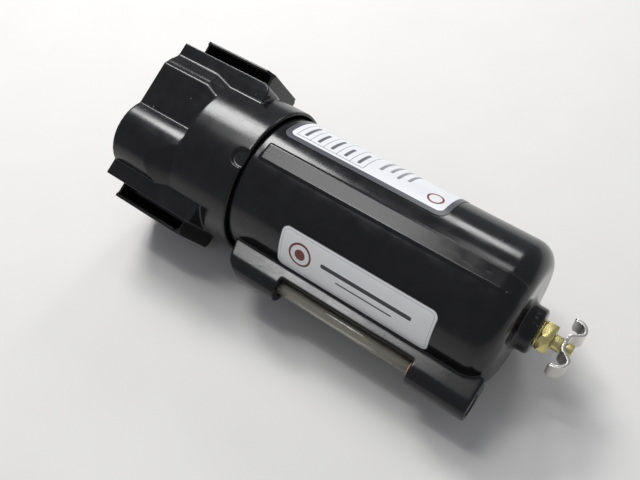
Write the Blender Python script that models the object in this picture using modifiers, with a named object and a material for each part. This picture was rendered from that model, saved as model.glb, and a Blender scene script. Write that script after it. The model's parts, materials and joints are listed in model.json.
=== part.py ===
"""Compressed air filter on its side: head with two clamp flanges, bowl with a sight glass, drain cock.

The pieces are drawn upright in the filter's own axes and then laid down together:
  X  port axis, +X to the inlet flange     Y  front of the head     Z  up, 0 at the rim of the head's collar
The bowl and what it carries are drawn with the sight glass at +X and turned to BOWL_TURN about Z.
Lengths are in millimetres here and become metres when a mesh is made.
"""

import math

import bmesh
import bpy
from mathutils import Matrix, Vector

MM = 0.001
GAP = 0.3  # clearance between pieces that touch on the real filter
PAST = 1.0  # how far a cutter runs past the face it opens
MERGE = 2e-6  # points of a finished shape nearer than this, in metres, become one

# Head casting
HEAD_TOP = 66.7
COLLAR_R = 36.1
COLLAR_H = 33.0
COLLAR_EDGE = 0.8
COLLAR_WALL = 1.9
SEAL_STEP = 3.0  # how much narrower the bore of the o-ring is than the mouth
SEAL_BORE_FROM = 19.0
CHAMBER_TOP = 31.0
CHEEK_X = 35.8  # half width of the body over its two ribs
CHEEK_Y = 24.5
CHEEK_BOTTOM = 14.4
CHEEK_CORNER_R = 4.0
FACE_Y = 30.5  # flat front of the head
FACE_LEFT_X = -22.6
FACE_STEP = 1.6
FACE_STEP_IN = 3.4
DOME_X = 12.0  # air passages that bulge from the front and the back
DOME_Y = 17.5
DOME_R = 17.8
HUB_R = 13.5
HUB_BOTTOM = 12.0
OUTLET_R = 8.0
BRIDGE_W = 6.4
BRIDGE_BOTTOM = 21.0
BRIDGE_H = 9.0

# Clamp flanges and ports
FLANGE_X = 43.3
FLANGE_T = 1.8
FLANGE_HALF_W = 17.2
FLANGE_TOP = 61.8
FLANGE_BOTTOM = 21.6
FLANGE_CHAMFER = 3.0
NECK_HALF_W = 9.8
NECK_STRAIGHT = 2.2
WEB_T = 1.3
WEB_HALF_W = 15.2
PORT_R = 8.0
PORT_MOUTH_R = 9.4
INLET_DEPTH = 28.0
INLET_SLOT_X = (15.5, 25.5)
INLET_SLOT_HALF_W = 7.0

# Bayonet
LUG_COUNT = 4
HEAD_LUG_FROM = 6.0
HEAD_LUG_H = 5.0
HEAD_LUG_DEG = 42.0
BOWL_LUG_DEG = 39.0
BOWL_LUG_H = 4.0
BOWL_LUG_CLEAR = 1.4
BOWL_LUG_OUT_CLEAR = 0.5
BOWL_LUG_ROOT = 0.8
BOWL_TURN = math.radians(14.0)  # how far the bowl stands from fully home
NOTCH_R = 4.1
NOTCH_Z = 3.6
NOTCH_DEPTH = 1.2

# Bowl casting
BOWL_CLEAR = 0.7  # round the bowl in the collar's mouth
BOWL_WALL = 3.6
BOWL_BOTTOM = -128.5
BOWL_FILLET = 10.0
FLOOR_T = 4.5
SHOULDER_Z = 4.6
SHOULDER_CHAMFER = 0.9
NECK_CLEAR = 0.4
NECK_WALL = 3.6
NECK_TOP = 26.5
BAND_OUT = 0.8
BAND_HALF_W = 3.9
BAND_FROM = -4.2
BAND_END_UP = 1.0

# O-ring in the bowl's neck
ORING_T = 2.0
ORING_Z = 22.7
ORING_GROOVE_H = 2.8

# Sight glass
GLASS_OUT = 6.5  # the glass's middle, out from the bowl's side
GLASS_R = 3.2
GLASS_WALL = 1.1
GLASS_CLEAR = 0.4
GAUGE_R = 7.0  # half thickness of the rail and radius of its bosses
GAUGE_ROOT = 16.0  # how far in the bosses and the rail are rooted
RAIL_SINK = 2.0  # the rail's face, in from the glass's middle
WINDOW = (-101.0, -34.0)
GAUGE_TOP = -5.0
GAUGE_SHOULDER = -15.0
SEAL_BORE_GLASS_R = 5.0
UPPER_BORE_H = 7.0
GLASS_LOW = -112.0
GLASS_PAST_SEAL = 1.3
PLUG_SINK = 0.7
PLUG_HEX = 5.0
PLUG_SOCKET = 4.0
FEED_R = 1.3

# Drain
DRAIN_BOSS_R = 10.3
DRAIN_BOSS_H = 7.2
DRAIN_BOSS_FILLET = 3.0
DRAIN_THREAD_R = 5.0
THREAD_LEAD = 0.6
DRAIN_HEX = 12.5
DRAIN_HEX_H = 5.0
DRAIN_IN = 7.5
WASHER_T = 0.6
WASHER_R = 6.5
STEM_R = 2.2
STEM_HEAD_R = 3.35
STEM_HEAD_H = 3.4
SEAT_R = 1.5
SEAT_DEPTH = 4.8
SEAT_CONE = 1.0
STEM_TIP = 1.8
HEX_TURN = math.radians(-19.0)
RIVET_R = 2.6
RIVET_H = 3.1
RIVET_EDGE = 0.4
RIVET_NECK_R = 1.8
WING_T = 1.3
WING_W = 8.4
WING_HUB = 3.3
WING_RISE = 4.8
WING_PEAK = 7.9
WING_TIP = 12.5
WING_TIP_BACK = 1.2
WING_TURN = math.radians(16.0)

# Inside
BAFFLE_CLEAR = 4.3  # the air's way down past the baffle
DEFLECTOR_CLEAR = 0.8
DEFLECTOR_T = 3.0
VANE_COUNT = 12
VANE_H = 5.0
VANE_L = 6.0
VANE_T = 1.2
VANE_LEAN = math.radians(35.0)
GASKET_T = 1.0
GASKET_R = 19.6
ELEMENT_R = 20.0
ELEMENT_BORE_R = 14.0
ELEMENT_L = 70.0
BAFFLE_T = 2.4
BAFFLE_SKIRT = 5.0
ROD_R = 2.0
ROD_IN_BRIDGE = 6.0
ROD_END = 1.5
NUT_HEX = 8.0
NUT_H = 3.2

# Labels
LABEL_T = 0.25
LABEL_CORNER_R = 4.0
FRONT_LABEL_DEG = 32.7
FRONT_LABEL_W = 20.8
FRONT_LABEL_Z = (-103.6, -28.4)
RATING_LABEL_DEG = 142.5
RATING_LABEL_W = 38.4
RATING_LABEL_Z = (-85.0, -4.6)

# Sides of the round pieces
FINE_COUNT = 72
ROUND_COUNT = 48
SMALL_COUNT = 24
TINY_COUNT = 12

# Sizes that follow from the ones above
PORT_Z = (FLANGE_TOP + FLANGE_BOTTOM) / 2
MOUTH_R = COLLAR_R - COLLAR_WALL
SEAL_BORE_R = MOUTH_R - SEAL_STEP
BOWL_R = MOUTH_R - BOWL_CLEAR
GLASS_X = BOWL_R + GLASS_OUT
RAIL_X = GLASS_X - RAIL_SINK
NECK_R = SEAL_BORE_R - NECK_CLEAR
BOWL_IN_R = BOWL_R - BOWL_WALL
NECK_IN_R = NECK_R - NECK_WALL
BAND_R = BOWL_R + BAND_OUT
BAFFLE_R = BOWL_IN_R - BAFFLE_CLEAR
DEFLECTOR_R = NECK_IN_R - DEFLECTOR_CLEAR
BOWL_LUG_Z = HEAD_LUG_FROM + HEAD_LUG_H + BOWL_LUG_CLEAR
DRAIN_BOSS_END = BOWL_BOTTOM - DRAIN_BOSS_H
WASHER_Z = DRAIN_BOSS_END - GAP - WASHER_T
HEX_TOP = WASHER_Z - GAP
HEX_END = HEX_TOP - DRAIN_HEX_H
STEM_HEAD_Z = HEX_END - GAP - STEM_HEAD_H
WING_HUB_Z = STEM_HEAD_Z - GAP - WING_T / 2
RIVET_Z = WING_HUB_Z - WING_T / 2 - GAP
DEFLECTOR_TOP = HUB_BOTTOM - GAP
UPPER_GASKET_TOP = DEFLECTOR_TOP - DEFLECTOR_T - GAP
ELEMENT_TOP = UPPER_GASKET_TOP - GASKET_T - GAP
LOWER_GASKET_TOP = ELEMENT_TOP - ELEMENT_L - GAP
BAFFLE_TOP = LOWER_GASKET_TOP - GASKET_T - GAP
NUT_TOP = BAFFLE_TOP - BAFFLE_T - GAP
ROD_TOP = BRIDGE_BOTTOM + ROD_IN_BRIDGE
ROD_BOTTOM = NUT_TOP - NUT_H - ROD_END


# Scene, materials and basic shapes


def empty_scene():
    for obj in list(bpy.data.objects):
        bpy.data.objects.remove(obj, do_unlink=True)
    for collection in list(bpy.data.collections):
        bpy.data.collections.remove(collection)


def collection_named(name):
    collection = bpy.data.collections.new(name)
    bpy.context.scene.collection.children.link(collection)
    return collection


empty_scene()
PARTS = collection_named("compressed_air_filter")
CUTTERS = collection_named("cutters")


def material(name, colour, roughness, metallic=0.0, transmission=0.0):
    made = bpy.data.materials.new(name)
    made.use_nodes = True
    shader = made.node_tree.nodes["Principled BSDF"]
    shader.inputs["Base Color"].default_value = (*colour, 1.0)
    shader.inputs["Roughness"].default_value = roughness
    shader.inputs["Metallic"].default_value = metallic
    shader.inputs["Transmission Weight"].default_value = transmission
    return made


BLACK_PAINT = material("black_paint", (0.012, 0.012, 0.014), 0.28)
GLASS = material("sight_glass", (0.9, 0.92, 0.9), 0.05, transmission=1.0)
SILICONE = material("salmon_silicone", (0.75, 0.28, 0.17), 0.5)
RUBBER = material("black_rubber", (0.02, 0.02, 0.02), 0.7)
BRASS = material("brass", (0.62, 0.50, 0.22), 0.3, metallic=1.0)
NICKEL = material("nickel_plate", (0.72, 0.71, 0.68), 0.22, metallic=1.0)
STEEL = material("zinc_plated_steel", (0.6, 0.6, 0.62), 0.35, metallic=1.0)
PLASTIC = material("black_acetal", (0.03, 0.03, 0.03), 0.5)
FILTER_MEDIA = material("sintered_media", (0.82, 0.80, 0.74), 0.9)
LABEL_WHITE = material("label_white", (0.86, 0.87, 0.88), 0.35)
LABEL_SILVER = material("label_silver", (0.80, 0.81, 0.83), 0.32)


def add_mesh(name, mesh, home, place=None):
    obj = bpy.data.objects.new(name, mesh)
    home.objects.link(obj)
    if place is not None:
        mesh.transform(place)
    return obj


def from_bmesh(name, bm, home=CUTTERS, place=None):
    bmesh.ops.recalc_face_normals(bm, faces=bm.faces)
    mesh = bpy.data.meshes.new(name)
    bm.to_mesh(mesh)
    bm.free()
    return add_mesh(name, mesh, home, place)


def evaluated_copy(obj, home=CUTTERS):
    """The object's finished shape as a plain mesh of its own, in place of the object."""
    name = obj.name
    graph = bpy.context.evaluated_depsgraph_get()
    mesh = bpy.data.meshes.new_from_object(obj.evaluated_get(graph))
    mesh.transform(obj.matrix_world)
    bpy.data.objects.remove(obj, do_unlink=True)
    bm = bmesh.new()
    bm.from_mesh(mesh)
    bmesh.ops.remove_doubles(bm, verts=bm.verts, dist=MERGE)
    bmesh.ops.recalc_face_normals(bm, faces=bm.faces)
    bm.to_mesh(mesh)
    bm.free()
    mesh.name = name
    return add_mesh(name, mesh, home)


def box(name, low, high):
    bm = bmesh.new()
    size = [(b - a) * MM for a, b in zip(low, high)]
    centre = [(a + b) / 2 * MM for a, b in zip(low, high)]
    bmesh.ops.create_cube(bm, size=1.0, matrix=Matrix.Translation(centre) @ Matrix.Diagonal((*size, 1.0)))
    return from_bmesh(name, bm)


def rod(name, radius, start, end, sides=ROUND_COUNT, end_radius=None, turn=0.0):
    """A cylinder or cone from one point to another."""
    a, b = Vector(start) * MM, Vector(end) * MM
    along = (b - a).to_track_quat("Z", "Y").to_matrix().to_4x4()
    place = Matrix.Translation((a + b) / 2) @ along @ Matrix.Rotation(turn, 4, "Z")
    bm = bmesh.new()
    second = radius if end_radius is None else end_radius
    bmesh.ops.create_cone(
        bm,
        cap_ends=True,
        segments=sides,
        radius1=radius * MM,
        radius2=second * MM,
        depth=(b - a).length,
        matrix=place,
    )
    return from_bmesh(name, bm)


def upright(name, radius, low, high, x=0.0, sides=SMALL_COUNT):
    """A cylinder along Z."""
    return rod(name, radius, (x, 0, low), (x, 0, high), sides=sides)


def turned(name, profile, sides=ROUND_COUNT, closed=False):
    """A profile of (radius, height) points turned about Z. It runs down its outer side."""
    mesh = bpy.data.meshes.new(name)
    points = [(r * MM, 0.0, z * MM) for r, z in profile]
    edges = [(i, i + 1) for i in range(len(points) - 1)]
    if closed:
        edges.append((len(points) - 1, 0))
    mesh.from_pydata(points, edges, [])
    obj = add_mesh(name, mesh, CUTTERS)
    screw = obj.modifiers.new("turn", "SCREW")
    screw.axis = "Z"
    screw.steps = screw.render_steps = sides
    screw.use_merge_vertices = True
    screw.merge_threshold = 1e-6
    screw.use_smooth_shade = False
    return evaluated_copy(obj)


def ring(name, inner, outer, low, high, sides=ROUND_COUNT):
    return turned(name, [(outer, high), (outer, low), (inner, low), (inner, high)], sides, closed=True)


def prism(name, outline, low, high, axes="XY"):
    """A closed outline in the named plane, drawn out along the third axis from low to high."""
    curve = bpy.data.curves.new(name, "CURVE")
    curve.dimensions = "2D"
    curve.fill_mode = "BOTH"
    curve.extrude = (high - low) / 2 * MM
    spline = curve.splines.new("POLY")
    spline.points.add(len(outline) - 1)
    for point, (x, y) in zip(spline.points, outline):
        point.co = (x * MM, y * MM, 0.0, 1.0)
    spline.use_cyclic_u = True
    obj = bpy.data.objects.new(name, curve)
    CUTTERS.objects.link(obj)
    middle = (high + low) / 2 * MM
    lay = {
        "XY": Matrix.Identity(4),
        "XZ": Matrix.Rotation(math.radians(90), 4, "X"),
        "YZ": Matrix.Rotation(math.radians(90), 4, "Z") @ Matrix.Rotation(math.radians(90), 4, "X"),
    }[axes]
    offset = {"XY": (0, 0, middle), "XZ": (0, middle, 0), "YZ": (middle, 0, 0)}[axes]
    obj.matrix_world = Matrix.Translation(offset) @ lay
    bpy.context.view_layer.update()
    return evaluated_copy(obj)


def arc(centre, radius, start_deg, end_deg, steps):
    """Points along an arc, both ends included."""
    angles = [math.radians(start_deg + (end_deg - start_deg) * i / steps) for i in range(steps + 1)]
    return [(centre[0] + radius * math.cos(t), centre[1] + radius * math.sin(t)) for t in angles]


def sector(name, inner, outer, centre_deg, width_deg, low, high, steps=6):
    start, end = centre_deg - width_deg / 2, centre_deg + width_deg / 2
    outline = arc((0, 0), outer, start, end, steps) + arc((0, 0), inner, end, start, steps)
    return prism(name, outline, low, high)


def boolean(obj, other, operation):
    modifier = obj.modifiers.new(other.name, "BOOLEAN")
    modifier.operation = operation
    modifier.object = other
    modifier.solver = "EXACT"
    other.hide_render = True
    other.display_type = "WIRE"


def join(obj, *others):
    for other in others:
        boolean(obj, other, "UNION")


def cut(obj, *others):
    for other in others:
        boolean(obj, other, "DIFFERENCE")


def settled(obj):
    """The shape with its Booleans worked out, ready for more of them."""
    bpy.context.view_layer.update()
    return evaluated_copy(obj)


def finish(obj, name, look, parent, smooth_deg=35.0):
    """Makes a piece of the filter from a drawn shape: its name, its look, its carrier."""
    for modifier in obj.modifiers:
        if modifier.type == "BOOLEAN":
            modifier.object.parent = parent
    CUTTERS.objects.unlink(obj)
    PARTS.objects.link(obj)
    obj.name = name
    obj.data.name = name
    obj.data.materials.clear()
    obj.data.materials.append(look)
    obj.parent = parent
    obj.data.shade_smooth()
    obj.data.set_sharp_from_angle(angle=math.radians(smooth_deg))
    return obj


def empty(name, parent=None):
    made = bpy.data.objects.new(name, None)
    PARTS.objects.link(made)
    made.parent = parent
    return made


def rounded_rectangle(left, right, low, high, radius, steps=4):
    corners = [
        ((right - radius, high - radius), 0),
        ((left + radius, high - radius), 90),
        ((left + radius, low + radius), 180),
        ((right - radius, low + radius), 270),
    ]
    return [p for centre, start in corners for p in arc(centre, radius, start, start + 90, steps)]


# Head


def head_front_outline():
    """The head's section above the collar: flat face, step down to the left rib, round passage."""
    left = [
        (FACE_LEFT_X - FACE_STEP_IN, CHEEK_Y - PAST),
        (FACE_LEFT_X - FACE_STEP, FACE_Y - FACE_STEP),
        (FACE_LEFT_X, FACE_Y),
    ]
    rise = math.degrees(math.asin((FACE_Y - DOME_Y) / DOME_R))
    fall = math.degrees(math.asin((CHEEK_Y - PAST - DOME_Y) / DOME_R))
    dome = arc((DOME_X, DOME_Y), DOME_R, 180 - rise, fall, 12)
    front = left + dome
    return front + [(x, -y) for x, y in reversed(front)]


def cheek_outline():
    left = arc((-CHEEK_X + CHEEK_CORNER_R, CHEEK_BOTTOM + CHEEK_CORNER_R), CHEEK_CORNER_R, 180, 270, 5)
    return left + [(CHEEK_X, CHEEK_BOTTOM), (CHEEK_X, HEAD_TOP), (-CHEEK_X, HEAD_TOP)]


def flange_shapes(side):
    """Plate, wedge-shaped neck and the two end webs of one clamp flange."""
    outer, inner = FLANGE_X, FLANGE_X - FLANGE_T
    c, w = FLANGE_CHAMFER, FLANGE_HALF_W
    top, bottom = FLANGE_TOP, FLANGE_BOTTOM
    plate_outline = [
        (-w, bottom + c),
        (-w + c, bottom),
        (w - c, bottom),
        (w, bottom + c),
        (w, top - c / 2),
        (w - c / 2, top),
        (-w + c / 2, top),
        (-w, top - c / 2),
    ]
    plate_from, plate_to = sorted((side * inner, side * outer))
    plate = prism("plate", plate_outline, plate_from, plate_to, "YZ")
    root = CHEEK_X - 2.0
    half = [(root, NECK_HALF_W), (CHEEK_X + NECK_STRAIGHT, NECK_HALF_W), (inner + 0.4, w - 0.8)]
    neck_outline = [(side * x, y) for x, y in half] + [(side * x, -y) for x, y in reversed(half)]
    neck = prism("neck", neck_outline, bottom + WEB_T / 2, top - WEB_T / 2)
    webs = []
    for low in (bottom, top - WEB_T):
        xs = sorted((side * root, side * (inner + 0.4)))
        webs.append(box("web", (xs[0], -WEB_HALF_W, low), (xs[1], WEB_HALF_W, low + WEB_T)))
    return [plate, neck, *webs]


def head_chamber():
    """What the bowl's neck and the air take up inside the head, round the outlet hub."""
    profile = [
        (0.0, HUB_BOTTOM),
        (HUB_R, HUB_BOTTOM),
        (HUB_R, CHAMBER_TOP),
        (SEAL_BORE_R, CHAMBER_TOP),
        (SEAL_BORE_R, SEAL_BORE_FROM),
        (MOUTH_R, SEAL_BORE_FROM),
        (MOUTH_R, -PAST),
        (0.0, -PAST),
    ]
    return turned("chamber", profile, FINE_COUNT)


def head_ports():
    """Inlet bore with its slot down to the chamber, outlet bore with the hub's passage, and both mouths."""
    inlet = rod("inlet", PORT_R, (FLANGE_X + PAST, 0, PORT_Z), (FLANGE_X - INLET_DEPTH, 0, PORT_Z))
    slot = box(
        "inlet_slot",
        (INLET_SLOT_X[0], -INLET_SLOT_HALF_W, CHAMBER_TOP - 1.5),
        (INLET_SLOT_X[1], INLET_SLOT_HALF_W, PORT_Z),
    )
    outlet = rod("outlet", PORT_R, (-FLANGE_X - PAST, 0, PORT_Z), (OUTLET_R - PAST, 0, PORT_Z))
    passage = rod("passage", OUTLET_R, (0, 0, HUB_BOTTOM - PAST), (0, 0, PORT_Z))
    mouths = []
    for side in (-1, 1):
        start, end = (side * (FLANGE_X + 0.1), 0, PORT_Z), (side * (FLANGE_X - 1.5), 0, PORT_Z)
        mouths.append(rod("mouth", PORT_MOUTH_R, start, end, end_radius=PORT_R - 0.2))
    return [inlet, slot, outlet, passage, *mouths]


def head_bridge():
    """The bar across the outlet passage that holds the tie rod, with its bore."""
    bar = box(
        "bridge",
        (-OUTLET_R - 1.5, -BRIDGE_W / 2, BRIDGE_BOTTOM),
        (OUTLET_R + 1.5, BRIDGE_W / 2, BRIDGE_BOTTOM + BRIDGE_H),
    )
    bore = rod(
        "rod_bore",
        ROD_R + GAP,
        (0, 0, BRIDGE_BOTTOM - PAST),
        (0, 0, ROD_TOP + GAP),
        sides=SMALL_COUNT,
    )
    return bar, bore


def head_lugs():
    pitch = 360.0 / LUG_COUNT
    centres = [pitch * (i + 0.5) for i in range(LUG_COUNT)]
    top = HEAD_LUG_FROM + HEAD_LUG_H
    return [
        sector("head_lug", SEAL_BORE_R, MOUTH_R + 0.6, centre, HEAD_LUG_DEG, HEAD_LUG_FROM, top)
        for centre in centres
    ]


def head_notch():
    """Pocket in the collar's rim that marks where the bowl is home."""
    floor_y, out_y = COLLAR_R - NOTCH_DEPTH, COLLAR_R + PAST
    return [
        rod("notch_round", NOTCH_R, (0, floor_y, NOTCH_Z), (0, out_y, NOTCH_Z), sides=SMALL_COUNT),
        box("notch_open", (-NOTCH_R, floor_y, -PAST), (NOTCH_R, out_y, NOTCH_Z)),
    ]


def make_head(parent):
    e = COLLAR_EDGE
    body = turned(
        "collar",
        [
            (0, COLLAR_H),
            (COLLAR_R - e, COLLAR_H),
            (COLLAR_R, COLLAR_H - e),
            (COLLAR_R, e),
            (COLLAR_R - e, 0),
            (0, 0),
        ],
        FINE_COUNT,
    )
    upper = prism("upper_body", head_front_outline(), COLLAR_H - 0.5, HEAD_TOP)
    cheeks = prism("cheeks", cheek_outline(), -CHEEK_Y, CHEEK_Y, "XZ")
    join(body, upper, cheeks, *flange_shapes(1), *flange_shapes(-1))
    hollow = head_chamber()
    join(hollow, *head_ports())
    cut(body, settled(hollow))
    bar, bore = head_bridge()
    join(body, bar, *head_lugs())
    cut(body, bore, *head_notch())
    return finish(body, "head", BLACK_PAINT, parent)


# Bowl


def bowl_outer_profile(radius, fillet, top):
    """Outer side of the bowl from its top edge down to the middle of its floor."""
    centre = (radius - fillet, BOWL_BOTTOM + fillet)
    return [(radius, top)] + arc(centre, fillet, 0, -90, 6)


def bowl_shell():
    groove_in = SEAL_BORE_R - ORING_T - 2 * GAP
    groove = (ORING_Z + ORING_GROOVE_H / 2, ORING_Z - ORING_GROOVE_H / 2)
    outer = [
        (NECK_R - 1.0, NECK_TOP),
        (NECK_R, NECK_TOP - 1.0),
        (NECK_R, groove[0]),
        (groove_in, groove[0]),
        (groove_in, groove[1]),
        (NECK_R, groove[1]),
        (NECK_R, SHOULDER_Z),
        (BOWL_R - SHOULDER_CHAMFER, SHOULDER_Z),
    ]
    outer += bowl_outer_profile(BOWL_R, BOWL_FILLET, SHOULDER_Z - SHOULDER_CHAMFER)
    foot = arc(
        (DRAIN_BOSS_R + DRAIN_BOSS_FILLET, BOWL_BOTTOM - DRAIN_BOSS_FILLET), DRAIN_BOSS_FILLET, 90, 180, 4
    )
    end = [(DRAIN_BOSS_R, DRAIN_BOSS_END + 0.6), (DRAIN_BOSS_R - 0.6, DRAIN_BOSS_END)]
    bore = DRAIN_THREAD_R + GAP
    floor_z = BOWL_BOTTOM + FLOOR_T
    round_in = BOWL_FILLET - BOWL_WALL
    inner = [(bore, DRAIN_BOSS_END), (bore, floor_z)]
    inner += arc((BOWL_IN_R - round_in, floor_z + round_in), round_in, -90, 0, 4)
    inner += [(BOWL_IN_R, -4.0), (NECK_IN_R, -4.0 + BOWL_IN_R - NECK_IN_R), (NECK_IN_R, NECK_TOP)]
    return turned("shell", outer + foot + end + inner, FINE_COUNT, closed=True)


def gauge_section():
    """Section of the sight-glass rail and bosses: flat sides that end in a half round about the glass."""
    tip = arc((GLASS_X, 0), GAUGE_R, -90, 90, 12)
    return [(GAUGE_ROOT, GAUGE_R), (GAUGE_ROOT, -GAUGE_R)] + tip


def gauge_side():
    """Side view of the same: sloped top, upper boss, window down to the rail, lower boss."""
    out = GLASS_X + GAUGE_R + PAST
    deep = BOWL_BOTTOM + 1.4 * BOWL_FILLET
    return [
        (BOWL_R - 2.0, GAUGE_TOP),
        (BOWL_R - 0.4, GAUGE_TOP),
        (GLASS_X + 3.4, GAUGE_TOP - 3.6),
        (GLASS_X + 6.0, GAUGE_TOP - 6.0),
        (out, GAUGE_SHOULDER),
        (out, WINDOW[1]),
        (RAIL_X, WINDOW[1]),
        (RAIL_X, WINDOW[0]),
        (out, WINDOW[0]),
        (out, BOWL_BOTTOM),
        (GAUGE_ROOT + 3.0, BOWL_BOTTOM),
        (GAUGE_ROOT + 3.0, deep),
        (BOWL_R - 2.0, deep + 8.0),
    ]


def gauge_cutters():
    """Bores for the glass, its seals and the plug, the channel in the rail, and the feeds into the bowl."""
    x = GLASS_X
    upper_top = WINDOW[1] + UPPER_BORE_H
    channel = upright("channel", GLASS_R + GLASS_CLEAR, WINDOW[0] + PAST, WINDOW[1] - PAST, x)
    upper = upright("upper_bore", SEAL_BORE_GLASS_R, WINDOW[1] - PAST, upper_top, x)
    lower = upright("lower_bore", SEAL_BORE_GLASS_R, BOWL_BOTTOM - PAST, WINDOW[0] + PAST, x)
    feed_z = (upper_top - 1.8, GLASS_LOW - 0.2)
    feeds = [rod("feed", FEED_R, (BOWL_IN_R - 2, 0, z), (x, 0, z), sides=TINY_COUNT) for z in feed_z]
    return [channel, upper, lower, *feeds]


def bowl_bands():
    """Two flat raised bands down the bowl, a quarter turn from the sight glass."""
    fillet = BOWL_FILLET + BAND_OUT / 2
    profile = [(0, BAND_FROM)] + bowl_outer_profile(BAND_R, fillet, BAND_FROM) + [(0, BOWL_BOTTOM)]
    bands = []
    for side in (-1, 1):
        ys = sorted((side * (BOWL_R - BOWL_FILLET), side * (BAND_R + PAST)))
        band = box(
            "band",
            (-BAND_HALF_W, ys[0], BOWL_BOTTOM + BAND_END_UP),
            (BAND_HALF_W, ys[1], BAND_FROM + PAST),
        )
        boolean(band, turned("band_form", profile, FINE_COUNT), "INTERSECT")
        bands.append(settled(band))
    return bands


def bowl_lugs():
    pitch = 360.0 / LUG_COUNT
    centres = [pitch * (i + 0.5) for i in range(LUG_COUNT)]
    inner, outer = NECK_R - BOWL_LUG_ROOT, MOUTH_R - BOWL_LUG_OUT_CLEAR
    low, high = BOWL_LUG_Z, BOWL_LUG_Z + BOWL_LUG_H
    return [sector("bowl_lug", inner, outer, centre, BOWL_LUG_DEG, low, high) for centre in centres]


def bowl_core():
    """The middle of the bowl out to half its wall, which its outside features stay clear of."""
    radius = BOWL_R - BOWL_WALL / 2
    fillet = BOWL_FILLET - BOWL_WALL / 2
    floor_z = BOWL_BOTTOM + FLOOR_T / 2
    corner = arc((radius - fillet, floor_z + fillet), fillet, 0, -90, 5)
    return turned("core", [(0, 0), (radius, 0), *corner, (0, floor_z)], FINE_COUNT)


def make_bowl(parent):
    shell = bowl_shell()
    gauge = prism("gauge", gauge_section(), BOWL_BOTTOM - PAST, GAUGE_TOP + PAST)
    boolean(gauge, prism("gauge_side", gauge_side(), -GAUGE_R - PAST, GAUGE_R + PAST, "XZ"), "INTERSECT")
    outside = settled(gauge)
    join(outside, *bowl_bands())
    cut(outside, bowl_core())
    join(shell, settled(outside), *bowl_lugs())
    cut(shell, *gauge_cutters())
    return finish(shell, "bowl", BLACK_PAINT, parent)


def make_oring(parent):
    radius, thick = (SEAL_BORE_R - GAP - ORING_T / 2), ORING_T / 2
    circle = arc((radius, ORING_Z), thick, 0, -315, 7)
    return finish(turned("o_ring", circle, ROUND_COUNT, closed=True), "bowl_o_ring", RUBBER, parent, 80)


def make_sight_glass(parent):
    x = GLASS_X
    top = WINDOW[1] + UPPER_BORE_H - 2.6
    glass = upright("glass", GLASS_R, GLASS_LOW, top, x)
    cut(glass, upright("glass_bore", GLASS_R - GLASS_WALL, GLASS_LOW - PAST, top + PAST, x))
    finish(glass, "sight_glass", GLASS, parent, 60)
    radius = SEAL_BORE_GLASS_R - GAP
    upper = upright("seal", radius, WINDOW[1] + GAP, top - GLASS_PAST_SEAL, x)
    lower = upright("seal", radius, GLASS_LOW + GLASS_PAST_SEAL, WINDOW[0] - GAP, x)
    for seal, name in ((upper, "upper_glass_seal"), (lower, "lower_glass_seal")):
        cut(seal, upright("seal_bore", GLASS_R + GAP, GLASS_LOW - 2 * PAST, top + 2 * PAST, x))
        finish(seal, name, SILICONE, parent, 60)
    plug_end = BOWL_BOTTOM + PLUG_SINK
    plug = upright("plug", radius, plug_end, GLASS_LOW - 2.4, x)
    socket_r, socket_top = PLUG_HEX / math.sqrt(3), plug_end + PLUG_SOCKET
    cut(plug, upright("socket", socket_r, BOWL_BOTTOM - PAST, socket_top, x, sides=6))
    finish(plug, "sight_glass_plug", STEEL, parent)


def make_labels(parent):
    for name, look, angle, width, zs in (
        ("front_label", LABEL_SILVER, FRONT_LABEL_DEG, FRONT_LABEL_W, FRONT_LABEL_Z),
        ("rating_label", LABEL_WHITE, RATING_LABEL_DEG, RATING_LABEL_W, RATING_LABEL_Z),
    ):
        low = BOWL_R + GAP
        skin = ring("skin", low, low + LABEL_T, zs[0] - PAST, zs[1] + PAST, FINE_COUNT)
        half = math.sin(width / 2 / BOWL_R) * BOWL_R
        outline = rounded_rectangle(-half, half, zs[0], zs[1], LABEL_CORNER_R)
        window = prism("label_form", outline, BOWL_R / 2, BOWL_R + BOWL_FILLET, "YZ")
        window.data.transform(Matrix.Rotation(math.radians(angle), 4, "Z"))
        boolean(skin, window, "INTERSECT")
        finish(skin, name, look, parent, 20)


# Drain cock


def drain_passage():
    """The stem's bore and, above its seat, the narrower way in from the bowl."""
    bore = STEM_R + GAP
    seat_z = BOWL_BOTTOM + DRAIN_IN - SEAT_DEPTH
    profile = [
        (0, BOWL_BOTTOM + DRAIN_IN + PAST),
        (SEAT_R, BOWL_BOTTOM + DRAIN_IN + PAST),
        (SEAT_R, seat_z),
        (bore, seat_z - SEAT_CONE),
        (bore, HEX_END - PAST),
        (0, HEX_END - PAST),
    ]
    return turned("passage", profile, SMALL_COUNT)


def make_drain_body(parent):
    nut = rod("nut", DRAIN_HEX / math.sqrt(3), (0, 0, HEX_END), (0, 0, HEX_TOP), sides=6, turn=HEX_TURN)
    bevel = nut.modifiers.new("edge", "BEVEL")
    bevel.width = 0.4 * MM
    bevel.segments = 1
    top = BOWL_BOTTOM + DRAIN_IN
    profile = [
        (0, top),
        (DRAIN_THREAD_R - THREAD_LEAD, top),
        (DRAIN_THREAD_R, top - THREAD_LEAD),
        (DRAIN_THREAD_R, HEX_TOP - PAST),
        (0, HEX_TOP - PAST),
    ]
    body = settled(nut)
    join(body, turned("thread", profile, SMALL_COUNT))
    cut(body, drain_passage())
    finish(body, "drain_body", BRASS, parent)
    inner, sides = DRAIN_THREAD_R + GAP, SMALL_COUNT + TINY_COUNT
    washer = ring("washer", inner, WASHER_R, WASHER_Z, WASHER_Z + WASHER_T, sides)
    finish(washer, "drain_washer", BRASS, parent)


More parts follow.
